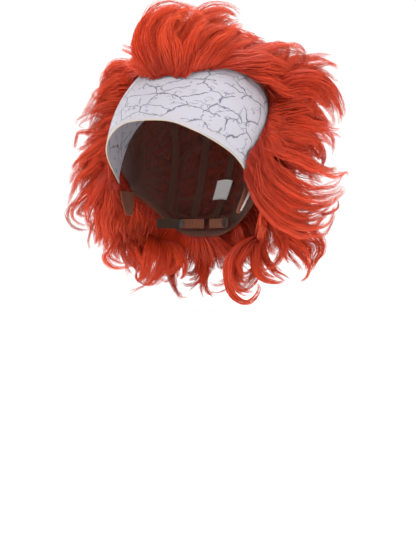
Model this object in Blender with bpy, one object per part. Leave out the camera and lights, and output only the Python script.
"""Curly costume wig in its worn shape: printed forehead panel, net cap, sewn wefts, adjusters, hair.

Frame: +Z up, the face looks along -Y, the wearer's left is +X. The origin is the middle of the
crown patch's lower face, where the top of the head touches. Metres throughout. Shapes are worked
out about the centre of the head form, and finish() moves them to the origin.

Every block is laid out by two fractions, 0 to 1: across and down (or up, where a piece says so).
"""

import math

import bmesh
import bpy
from mathutils import Vector

# ---------------------------------------------------------------- head form and cap (m)
# An ellipsoid, taller below its centre than above, sheared backward as it rises.
HEAD_HALF_WIDTH = 0.079
HEAD_HALF_DEPTH = 0.098
HEAD_RISE = 0.099
HEAD_DROP = 0.130
LEAN = math.tan(math.radians(18.0))

# Lift of each layer's inner and outer faces off the head form
LABEL_LIFT = (-0.0011, -0.0004)
HEM_LIFT = (0.0003, 0.0017)
PANEL_LIFT = (0.0005, 0.0013)
NET_LIFT = (0.0006, 0.0013)
TAPE_LIFT = (0.0021, 0.0028)
WEFT_LIFT = (0.0034, 0.0046)
TAB_LIFT = (0.0005, 0.0013)
STAY_LIFT = (0.0018, 0.0026)

HEM_WIDTH = 0.0022
HEM_SHIFT = HEM_WIDTH / 2  # sets one edge of the hem on the brow line
TAPE_WIDTH = 0.007
RIBBON_WIDTH = 0.008
WEFT_WIDTH = 0.0034
BINDING_WIDTH = 0.009

PATCH_RADIUS = 0.016
PATCH_THICK = 0.0012
PATCH_Z = 0.0948
CROWN = Vector((0, HEAD_RISE * LEAN, PATCH_Z))  # the origin, seen from the head form's centre

# Stations from the centre line to the wearer's left ear: (degrees round from the front, height)
HAIRLINE = (
    (0, 0.063), (30, 0.065), (58, 0.070), (88, 0.063), (110, 0.042), (98, 0.010), (87, -0.038),
)
BROW = (
    (0, 0.0125), (20, 0.0105), (38, 0.001), (54, -0.010), (68, -0.021), (80, -0.033),
    (88, -0.044),
)
MIDLINE = (
    (180, 0.093), (148, 0.086), (138, 0.066), (132, 0.034), (125, 0.002), (112, -0.027),
    (95, -0.044),
)
NAPE = (
    (180, -0.100), (167, -0.100), (154, -0.096), (140, -0.086), (125, -0.069), (110, -0.055),
    (99, -0.048),
)

# ---------------------------------------------------------------- materials
# name: (base colour RGBA, roughness)
MATERIALS = {
    "panel_knit": ((0.74, 0.74, 0.80, 1), 0.85),
    "hem_elastic": ((0.55, 0.40, 0.26, 1), 0.8),
    "cap_net": ((0.10, 0.045, 0.03, 1), 0.9),
    "cap_tape": ((0.16, 0.06, 0.035, 1), 0.85),
    "weft_track": ((0.30, 0.05, 0.025, 1), 0.75),
    "synthetic_hair": ((0.55, 0.06, 0.022, 1), 0.45),
    "strap_elastic": ((0.03, 0.025, 0.022, 1), 0.85),
    "hook_plastic": ((0.03, 0.02, 0.018, 1), 0.35),
    "lining_cloth": ((0.50, 0.36, 0.25, 1), 0.8),
    "label_satin": ((0.85, 0.84, 0.82, 1), 0.6),
    "stay_plastic": ((0.70, 0.68, 0.62, 1), 0.3),
}


def material(name):
    """The named material, made on first use."""
    found = bpy.data.materials.get(name)
    if found:
        return found
    colour, roughness = MATERIALS[name]
    made = bpy.data.materials.new(name)
    made.use_nodes = True
    shader = made.node_tree.nodes["Principled BSDF"]
    shader.inputs["Base Color"].default_value = colour
    shader.inputs["Roughness"].default_value = roughness
    made.diffuse_color = colour
    return made


# ---------------------------------------------------------------- scene
for old in list(bpy.data.objects):
    bpy.data.objects.remove(old, do_unlink=True)
WIG = bpy.data.collections.new("costume_wig")
bpy.context.scene.collection.children.link(WIG)


# ---------------------------------------------------------------- points on the head form
def half_height(z):
    return HEAD_RISE if z > 0 else HEAD_DROP


def direction(turn_deg, height):
    """Unit direction of a station on the head form."""
    turn = math.radians(turn_deg)
    up = height / half_height(height)
    flat = math.sqrt(max(0.0, 1 - up * up))
    return Vector((flat * math.sin(turn), -flat * math.cos(turn), up))


def form_normal(point):
    """Outward unit normal of the head form at this point."""
    y_slope = (point.y - point.z * LEAN) / HEAD_HALF_DEPTH**2
    z_slope = point.z / half_height(point.z) ** 2 - LEAN * y_slope
    return Vector((point.x / HEAD_HALF_WIDTH**2, y_slope, z_slope)).normalized()


def skin(heading, lift=0.0):
    """The head form's point in this direction, lifted along the form's normal."""
    unit = heading.normalized()
    z = half_height(unit.z) * unit.z
    point = Vector((HEAD_HALF_WIDTH * unit.x, HEAD_HALF_DEPTH * unit.y + z * LEAN, z))
    return point + form_normal(point) * lift


def half_width_at(y, z):
    """Half width of the head form at this depth and height, 0 past its end."""
    rest = 1 - ((y - z * LEAN) / HEAD_HALF_DEPTH) ** 2 - (z / half_height(z)) ** 2
    return HEAD_HALF_WIDTH * math.sqrt(rest) if rest > 0 else 0.0


def back_at(x, z):
    """Y of the head form's back at this x and height."""
    rest = 1 - (x / HEAD_HALF_WIDTH) ** 2 - (z / half_height(z)) ** 2
    return z * LEAN + HEAD_HALF_DEPTH * math.sqrt(max(rest, 0.0))


def rise_at(x, y):
    """Height of the head form over this point: the upper crossing of the leaning form."""
    square = (LEAN / HEAD_HALF_DEPTH) ** 2 + 1 / HEAD_RISE**2
    linear = -2 * y * LEAN / HEAD_HALF_DEPTH**2
    constant = (y / HEAD_HALF_DEPTH) ** 2 + (x / HEAD_HALF_WIDTH) ** 2 - 1
    inside = linear * linear - 4 * square * constant
    return (-linear + math.sqrt(inside)) / (2 * square) if inside > 0 else 0.0


def on_line(stations, reach):
    """Smooth direction on a row of stations; reach is 0 at the centre line, 1 at the left ear
    and -1 at the right ear."""
    points = [direction(*station) for station in stations]
    place = min(abs(reach), 1.0) * (len(points) - 1)
    first = min(int(place), len(points) - 2)
    t = place - first

    def control(k):
        if k < 0:
            twin = points[-k].copy()
            twin.x = -twin.x
            return twin
        if k >= len(points):
            return points[-1] * 2 - points[-2]
        return points[k]

    # Catmull-Rom curve between the two middle controls
    before, start, end, after = (control(first + k) for k in (-1, 0, 1, 2))
    heading = 0.5 * (
        2 * start
        + (end - before) * t
        + (2 * before - 5 * start + 4 * end - after) * t**2
        + (3 * start - before - 3 * end + after) * t**3
    )
    heading.normalize()
    if reach < 0:
        heading.x = -heading.x
    return heading


RIB_STEPS = 48
RIB_MIDDLE = 0.45  # where a rib crosses MIDLINE, as a fraction of its curve
ribs = {}


def cap_rib(reach):
    """Directions from hairline to nape at this reach, with the length run up to each."""
    key = round(reach, 5)
    if key not in ribs:
        front, middle, back = (on_line(line, reach) for line in (HAIRLINE, MIDLINE, NAPE))
        k = RIB_MIDDLE
        rib = []
        for i in range(RIB_STEPS + 1):
            t = i / RIB_STEPS
            front_weight = (t - k) * (t - 1) / k
            middle_weight = t * (t - 1) / (k * (k - 1))
            back_weight = t * (t - k) / (1 - k)
            blend = front * front_weight + middle * middle_weight + back * back_weight
            rib.append(blend.normalized())
        run = [0.0]
        for here, there in zip(rib, rib[1:]):
            run.append(run[-1] + (skin(there) - skin(here)).length)
        ribs[key] = rib, run
    return ribs[key]


def cap_dir(reach, down):
    """Direction on the cap: down runs from the hairline (0) over the crown to the nape edge (1),
    even in length."""
    rib, run = cap_rib(reach)
    want = min(max(down, 0.0), 1.0) * run[-1]
    i = 0
    while i < len(run) - 2 and run[i + 1] < want:
        i += 1
    t = (want - run[i]) / (run[i + 1] - run[i])
    return (rib[i] * (1 - t) + rib[i + 1] * t).normalized()


# ---------------------------------------------------------------- solids
def finish(name, material_name, bm, origin=(0, 0, 0), smooth=True):
    """Turn the mesh outward and make it an object whose origin is at this point."""
    bmesh.ops.recalc_face_normals(bm, faces=bm.faces)
    if bm.calc_volume(signed=True) < 0:
        bmesh.ops.reverse_faces(bm, faces=bm.faces)
    origin = Vector(origin)
    for vert in bm.verts:
        vert.co -= origin
    for face in bm.faces:
        face.smooth = smooth
    mesh = bpy.data.meshes.new(name)
    bm.to_mesh(mesh)
    bm.free()
    mesh.materials.append(material(material_name))
    obj = bpy.data.objects.new(name, mesh)
    obj.location = origin - CROWN
    WIG.objects.link(obj)


def solid(name, material_name, segments, base, outer, origin=(0, 0, 0)):
    """A closed block: a grid laid on base(across, down), its other side on outer(across, down)."""
    bm = bmesh.new()
    bmesh.ops.create_grid(bm, x_segments=segments[0], y_segments=segments[1], size=0.5)
    base_verts = list(bm.verts)
    made = bmesh.ops.extrude_face_region(bm, geom=list(bm.faces), use_keep_orig=True)
    outer_verts = [item for item in made["geom"] if isinstance(item, bmesh.types.BMVert)]
    for verts, place in ((base_verts, base), (outer_verts, outer)):
        for vert in verts:
            vert.co = place(vert.co.x + 0.5, vert.co.y + 0.5)
    finish(name, material_name, bm, origin)


def mirrored(place):
    def twin(across, down):
        point = place(across, down)
        point.x = -point.x
        return point
    return twin


def pair(name, material_name, segments, base, outer, origin=(0, 0, 0)):
    """The left block, and its mirror image on the right."""
    x, y, z = origin
    solid("left_" + name, material_name, segments, base, outer, origin)
    solid("right_" + name, material_name, segments, mirrored(base), mirrored(outer), (-x, y, z))


def layer(place, lift):
    """The points over place(across, down), a field of directions, at this lift."""
    return lambda across, down: skin(place(across, down), lift)


def sheet(name, material_name, segments, place, lifts):
    """A cloth sheet on the head form."""
    solid(name, material_name, segments, layer(place, lifts[0]), layer(place, lifts[1]))


def strip(name, material_name, count, line, width, lifts, shift=0.0):
    """A flat tape along line(t) (unit directions), lying on the head form."""
    step = 0.004

    def face(lift):
        def place(t, side):
            ahead = skin(line(max(t - step, 0))), skin(line(min(t + step, 1)))
            point = skin(line(t))
            out = form_normal(point)
            sideways = (ahead[1] - ahead[0]).cross(out).normalized()
            return point + sideways * ((side * 2 - 1) * width / 2 + shift) + out * lift
        return place

    solid(name, material_name, (count, 1), face(lifts[0]), face(lifts[1]))


# ---------------------------------------------------------------- forehead
def panel_dir(across, up):
    """From just above the brow line to just short of the hairline."""
    reach = across * 2 - 1
    t = 0.035 + 0.948 * up
    return (on_line(BROW, reach) * (1 - t) + on_line(HAIRLINE, reach) * t).normalized()


def hem_dir(t):
    return on_line(BROW, (t * 2 - 1) * 0.985)


sheet("forehead_panel", "panel_knit", (44, 8), panel_dir, PANEL_LIFT)
strip("brow_hem_elastic", "hem_elastic", 48, hem_dir, HEM_WIDTH, HEM_LIFT, HEM_SHIFT)

# ---------------------------------------------------------------- net cap
# Cap places: reach from ear to ear, down from hairline to nape
CROSS_SEAM = 0.55
CROSS_SEAM_HALF_GAP = 0.004
SIDE_SEAM = 0.46
SIDE_SEAM_GAP = 0.01
NET_REACH = 0.97
NET_TOP, NET_BOTTOM = 0.012, 0.99


def patch(reach_start, reach_end, top, bottom):
    return lambda across, down: cap_dir(
        reach_start + (reach_end - reach_start) * across, top + (bottom - top) * down
    )


def row(reach, down):
    """A line from ear to ear at one level of the cap."""
    return lambda t: cap_dir((t * 2 - 1) * reach, down)


SIDE_START = SIDE_SEAM + SIDE_SEAM_GAP
# name, segments, start and end reach, top and bottom
NETS = (
    ("crown_net", (14, 12), -SIDE_SEAM, SIDE_SEAM, NET_TOP, CROSS_SEAM - CROSS_SEAM_HALF_GAP),
    ("back_net", (16, 14), -SIDE_SEAM, SIDE_SEAM, CROSS_SEAM + CROSS_SEAM_HALF_GAP, NET_BOTTOM),
    ("left_side_net", (10, 14), SIDE_START, NET_REACH, NET_TOP, NET_BOTTOM),
    ("right_side_net", (10, 14), -NET_REACH, -SIDE_START, NET_TOP, NET_BOTTOM),
)
for name, segments, *bounds in NETS:
    sheet(name, "cap_net", segments, patch(*bounds), NET_LIFT)

strip("hairline_tape", "cap_tape", 44, row(0.95, NET_TOP), TAPE_WIDTH, TAPE_LIFT)
strip("nape_binding", "cap_tape", 36, row(0.90, 0.975), BINDING_WIDTH, TAPE_LIFT)

# Ribbons run from hairline to nape: name, reach, top
RIBBONS = (
    ("centre_back", 0.0, 0.06),
    ("left_back", 0.26, 0.06),
    ("right_back", -0.26, 0.06),
    ("left_side", 0.54, 0.16),
    ("right_side", -0.54, 0.16),
)
RIBBON_BOTTOM = 0.915


def ribbon_line(reach, top):
    return lambda t: cap_dir(reach, top + (RIBBON_BOTTOM - top) * t)


for name, reach, top in RIBBONS:
    strip("ribbon_" + name, "cap_tape", 22, ribbon_line(reach, top), RIBBON_WIDTH, TAPE_LIFT)

WEFT_ROWS = (0.05, 0.15, 0.25, 0.35, 0.46, 0.58, 0.70, 0.81, 0.90)
for number, down in enumerate(WEFT_ROWS, start=1):
    weft_line = row(0.90 - 0.10 * abs(down - 0.4), down)
    strip("weft_row_%d" % number, "weft_track", 34, weft_line, WEFT_WIDTH, WEFT_LIFT)


def crown_patch():
    """Round lining patch under the top of the crown, with a flat lower face."""
    bm = bmesh.new()
    bmesh.ops.create_cone(
        bm, cap_ends=True, segments=40,
        radius1=PATCH_RADIUS, radius2=PATCH_RADIUS, depth=PATCH_THICK,
    )
    bmesh.ops.translate(bm, verts=bm.verts, vec=CROWN + Vector((0, 0, PATCH_THICK / 2)))
    finish("crown_patch", "lining_cloth", bm, smooth=False)


crown_patch()

# blank size label inside the back of the cap
sheet("size_label", "label_satin", (6, 4), patch(-0.085, 0.085, 0.775, 0.845), LABEL_LIFT)

# ---------------------------------------------------------------- ear tabs
TAB_TOP, TAB_BOTTOM = -0.052, -0.076
TAB_TURN = 97.0
TAB_SPAN_DEG, TAB_TAPER_DEG = 15, 6  # span at the top, and how much of it goes by the bottom


def tab_dir(across, down):
    turn = TAB_TURN + (across - 0.5) * (TAB_SPAN_DEG - TAB_TAPER_DEG * down * down)
    return direction(turn, TAB_TOP + (TAB_BOTTOM - TAB_TOP) * down)


def stay_dir(across, down):
    """A narrow upright strip in the middle of the tab."""
    return tab_dir(0.5 + (across - 0.5) * 0.3, 0.10 + 0.78 * down)


def ear_tabs():
    """Tabs and their stays turn about the middle of the tab's top edge."""
    middle = sum(TAB_LIFT) / 2
    hinge = (skin(tab_dir(0, 0), middle) + skin(tab_dir(1, 0), middle)) / 2
    for name, material_name, segments, place, lifts in (
        ("ear_tab", "cap_net", (8, 6), tab_dir, TAB_LIFT),
        ("ear_stay", "stay_plastic", (2, 6), stay_dir, STAY_LIFT),
    ):
        faces = [layer(place, lift) for lift in lifts]
        pair(name, material_name, segments, *faces, hinge)


ear_tabs()

# ---------------------------------------------------------------- nape adjusters
# They curve round a vertical axis behind which the turn is 0, growing towards the ears.
NAPE_AXIS = (0, -0.0072, -0.086)
STRAP_HALF_HEIGHT = 0.005
HOOK_HALF_HEIGHT = 0.0036

# name, material, segments round, turns (deg), half height, inner and outer radius, origin
ADJUSTERS = (
    ("adjuster_strap", "strap_elastic", 12, (40, 76), STRAP_HALF_HEIGHT, (0.0418, 0.0428),
     NAPE_AXIS),
    ("adjuster_hook", "hook_plastic", 4, (33.5, 39.3), HOOK_HALF_HEIGHT, (0.0414, 0.0434),
     NAPE_AXIS),
    ("eye_tape", "cap_tape", 12, (4, 39), STRAP_HALF_HEIGHT, (0.0440, 0.0448), (0, 0, 0)),
)


def ring_face(turns, half, radius):
    x, y, z = NAPE_AXIS

    def place(across, up):
        turn = math.radians(turns[0] + (turns[1] - turns[0]) * across)
        return Vector((
            x + radius * math.sin(turn), y + radius * math.cos(turn), z + half * (2 * up - 1)
        ))
    return place


for name, material_name, count, turns, half, radii, origin in ADJUSTERS:
    faces = [ring_face(turns, half, radius) for radius in radii]
    pair(name, material_name, (count, 2), *faces, origin)

# ---------------------------------------------------------------- hair: shared
HAIR_CLEAR = 0.0062
LIFT_GAP_DEG = 27.0  # how far the upper sections' undersides rise, clear of the ones that lift
CENTRE_HALF = 0.036
SECTION_GAP = 0.002
SIDE_EDGE = CENTRE_HALF + SECTION_GAP  # inner x of the sections beside the centre ones
UPPER_LOW_Z = 0.014  # lower root height of the upper sections at the back


def centre_x(across):
    return CENTRE_HALF * (2 * across - 1)


def lobes(across, down, seed, depth, waves_across, waves_down):
    """Soft curl lumps, 1 +- depth; the seed shifts their phase."""
    return 1 + depth * (
        0.6 * math.sin(2 * math.pi * (waves_across * across + 0.31 * seed) + 1.7 * down)
        + 0.4 * math.sin(2 * math.pi * (waves_down * down + 0.53 * seed) + 2.3 * across)
    )


# ---------------------------------------------------------------- hair: falling sections
FALL_TOP_Z = 0.004
FALL_LOW_Z = -0.098
FALL_END_DEG = 96.0
FALL_CLEAR = HAIR_CLEAR + 0.001
SIDE_FRONT_Y, SIDE_BACK_Y = -0.024, 0.046

# Outer radius about the top root when level, at 45 degrees and straight down
SIDE_RADII = (0.056, 0.069, 0.112)
CORNER_RADII = (0.060, 0.074, 0.116)
BACK_RADII = (0.050, 0.064, 0.118)


def ramp(value, start, span):
    return min(1.0, max(0.0, (value - start) / span))


def ease(t):
    return t * t * (3 - 2 * t)


def fall_z(down):
    return FALL_TOP_Z + (FALL_LOW_Z - FALL_TOP_Z) * down


def fall_radius(across, down, radii, seed, depth):
    level, middle, drop = radii
    t = down * FALL_END_DEG / 90.0
    if t < 0.5:
        radius = level + (middle - level) * ease(t / 0.5)
    else:
        radius = middle + (drop - middle) * ease((t - 0.5) / 0.5)
    return radius * lobes(across, down, seed, depth, 2.0, 2.5)


def fall_point(top, out, down, radius):
    """Outer point on a fan about the top root, from level outward to past straight down."""
    angle = math.radians(-down * FALL_END_DEG)
    return top + out * radius * math.cos(angle) + Vector((0, 0, radius * math.sin(angle)))


def side_base(across, down):
    y = SIDE_FRONT_Y + (SIDE_BACK_Y - SIDE_FRONT_Y) * across
    z = fall_z(down)
    least = 0.050 + 0.018 * ramp(down, 0.55, 0.35)
    return Vector((max(half_width_at(y, z) + FALL_CLEAR, least), y, z))


def side_outer(across, down):
    radius = fall_radius(across, down, SIDE_RADII, 1, 0.09)
    radius *= 1 - 0.28 * (1 - across) ** 3  # shorter towards the face
    return fall_point(side_base(across, 0), Vector((1, 0, 0)), down, radius)


def back_root_y(x, down):
    least = 0.066 + 0.006 * ramp(down, 0.45, 0.4)
    return max(back_at(x, fall_z(down)) + FALL_CLEAR, least)


def corner_base(across, down):
    """Quarter round from the side section to the back fall."""
    z = fall_z(down)
    y_edge = SIDE_BACK_Y + SECTION_GAP
    least = 0.062 + 0.008 * ramp(down, 0.45, 0.4)
    x_reach = max(half_width_at(y_edge, z) + FALL_CLEAR, least) - SIDE_EDGE
    y_reach = back_root_y(SIDE_EDGE, down) - y_edge
    angle = math.pi / 2 * across
    return Vector((SIDE_EDGE + x_reach * math.cos(angle), y_edge + y_reach * math.sin(angle), z))


def corner_outer(across, down):
    angle = math.pi / 2 * across
    out = Vector((math.cos(angle), math.sin(angle), 0))
    radius = fall_radius(across, down, CORNER_RADII, 2, 0.10)
    return fall_point(corner_base(across, 0), out, down, radius)


def back_base(across, down):
    x = centre_x(across)
    return Vector((x, back_root_y(x, down), fall_z(down)))


def back_outer(across, down):
    radius = fall_radius(across, down, BACK_RADII, 3, 0.09)
    return fall_point(back_base(across, 0), Vector((0, 1, 0)), down, radius)


# the side sections and the back fall turn about their top roots
SIDE_AXIS = (side_base(0.5, 0).x, 0.0, FALL_TOP_Z)
BACK_AXIS = (0, back_base(0.5, 0).y, FALL_TOP_Z)

pair("side_hair", "synthetic_hair", (10, 12), side_base, side_outer, SIDE_AXIS)
pair("back_hair", "synthetic_hair", (10, 12), corner_base, corner_outer)
solid("back_fall_hair", "synthetic_hair", (10, 12), back_base, back_outer, BACK_AXIS)

# ---------------------------------------------------------------- hair: forelock
# Stands on the centre of the hairline and fans up and forward; its second fraction runs back.
FORELOCK_AXIS = (0, -0.052, 0.071)
FORELOCK_NARROWING = 0.92
FORELOCK_RISE = 0.004  # centre of the fan above the axis


def forelock_base(across, back):
    x = centre_x(across) * FORELOCK_NARROWING
    y = -0.050 + 0.034 * back
    return Vector((x, y, rise_at(x, y) + 0.010))


def forelock_outer(across, back):
    angle = math.radians(32 + 66 * back)
    radius = (0.052 + 0.011 * math.sin(math.pi * back)) * lobes(across, back, 4, 0.08, 1.5, 1.5)
    radius *= 1 - 0.18 * abs(2 * across - 1) ** 3
    return Vector((
        centre_x(across) * FORELOCK_NARROWING,
        FORELOCK_AXIS[1] - radius * math.cos(angle),
        FORELOCK_AXIS[2] + FORELOCK_RISE + radius * math.sin(angle),
    ))


solid("forelock_hair", "synthetic_hair", (10, 10), forelock_base, forelock_outer, FORELOCK_AXIS)

# ---------------------------------------------------------------- hair: crown
# From behind the forelock over the top to just above the back fall
CROWN_FRONT_Y = -0.010


def crown_base(across, down):
    x = centre_x(across)
    # sweep by angle in the side plane so that the steep back is covered evenly
    angle = math.radians(90 * down)
    y = CROWN_FRONT_Y + (back_at(x, UPPER_LOW_Z) - CROWN_FRONT_Y) * math.sin(angle)
    # at the back edge the form's lower crossing is wanted, which rise_at does not give
    z = max(rise_at(x, y), UPPER_LOW_Z) if down < 1 else UPPER_LOW_Z
    return Vector((
        x,
        y + (HAIR_CLEAR + 0.003) * math.sin(angle),
        z + HAIR_CLEAR * math.cos(angle) + 0.002,
    ))


def crown_outer(across, down):
    angle = math.radians(100 - (100 - LIFT_GAP_DEG) * down)
    radius = (0.024 + 0.028 * down**1.5) * lobes(across, down, 5, 0.10, 1.5, 3)
    out = Vector((0, math.cos(angle), math.sin(angle)))
    return crown_base(across, down) + out * radius


solid("crown_hair", "synthetic_hair", (10, 16), crown_base, crown_outer)

# ---------------------------------------------------------------- hair: upper sides
# First fraction from the front hairline to the back, second from the lower edge up to the centre
TOP_FRONT_Y = -0.028
# Centre the hair radiates from
TOP_CENTRE = Vector((0.0, 0.020, -0.020))
# (y, lower root height): it follows the hairline, then runs level
TOP_LOW_LINE = (
    (-0.040, 0.0685), (-0.014, 0.0735), (0.018, 0.067), (0.040, 0.047),
    (0.052, UPPER_LOW_Z), (0.2, UPPER_LOW_Z),
)


def top_low(y):
    for (y_start, z_start), (y_end, z_end) in zip(TOP_LOW_LINE, TOP_LOW_LINE[1:]):
        if y <= y_end:
            t = max(0.0, (y - y_start) / (y_end - y_start))
            return z_start + (z_end - z_start) * t
    return UPPER_LOW_Z


def top_base(back, up):
    y_end = back_at(SIDE_EDGE, UPPER_LOW_Z) - 0.001
    y = TOP_FRONT_Y + (y_end - TOP_FRONT_Y) * (0.6 * back + 0.4 * math.sin(math.pi / 2 * back))
    z_high = max(rise_at(SIDE_EDGE, y), UPPER_LOW_Z + 0.004)
    z_low = min(top_low(y), z_high - 0.003)
    z = z_low + (z_high - z_low) * math.sin(math.pi / 2 * up)
    x = max(half_width_at(y, z), SIDE_EDGE) if up < 1 else SIDE_EDGE
    root = Vector((x, y, z))
    point = root + form_normal(root) * (HAIR_CLEAR + 0.002)
    point.x = max(point.x, SIDE_EDGE)
    return point


def top_outer(back, up):
    root = top_base(back, up)
    out = (root - TOP_CENTRE).normalized()
    # keep the underside rising outward, clear of the sections that lift
    least_rise = math.tan(math.radians(LIFT_GAP_DEG + 2)) * math.hypot(out.x, out.y)
    if out.z < least_rise:
        out.z = least_rise
        out.normalize()
    # the edge beside the centre strip stays in its upright plane
    if up > 0.999:
        out.x = 0
        out.normalize()
    radius = 0.026 + 0.030 * math.hypot(out.x, out.y) ** 1.3
    radius *= lobes(back, up, 6, 0.10, 3, 1.5)
    radius *= 0.80 + 0.20 * min(1.0, back * 3)
    point = root + out * radius
    point.x = max(point.x, SIDE_EDGE)
    return point


pair("top_hair", "synthetic_hair", (14, 8), top_base, top_outer)

# ---------------------------------------------------------------- hair: nape curls
# Hooked locks that hang below the cap, round the back of the neck:
# name, top, bottom, radius at the top, radius the middle swells to, sideways bow
CURLS = (
    ("left", (0.045, 0.026, -0.105), (0.052, 0.026, -0.172), 0.012, 0.021, (0.003, 0.004, 0)),
    ("right", (-0.045, 0.026, -0.105), (-0.052, 0.026, -0.168), 0.012, 0.021,
     (-0.003, 0.004, 0)),
    ("centre", (0, 0.045, -0.106), (0, 0.047, -0.166), 0.014, 0.024, (0, 0.004, 0)),
)


def curl(name, top, bottom, top_radius, middle_radius, bow):
    """A sphere drawn out from top to bottom, bowed and given twisting lumps."""
    bm = bmesh.new()
    bmesh.ops.create_uvsphere(bm, u_segments=14, v_segments=12, radius=1.0)
    for vert in bm.verts:
        t = (1 - vert.co.z) / 2
        centre = Vector(top).lerp(Vector(bottom), t) + Vector(bow) * math.sin(math.pi * t) ** 2
        swell = math.sin(math.pi * min(1, t * 1.15) * 0.62)
        radius = top_radius + (middle_radius - top_radius) * swell
        angle = math.atan2(vert.co.y, vert.co.x)
        radius *= math.hypot(vert.co.x, vert.co.y) * (1 + 0.10 * math.sin(3 * angle + 5 * t))
        vert.co = centre + Vector((math.cos(angle), math.sin(angle), 0)) * radius
    finish(name + "_nape_curl", "synthetic_hair", bm)


for curl_sizes in CURLS:
    curl(*curl_sizes)
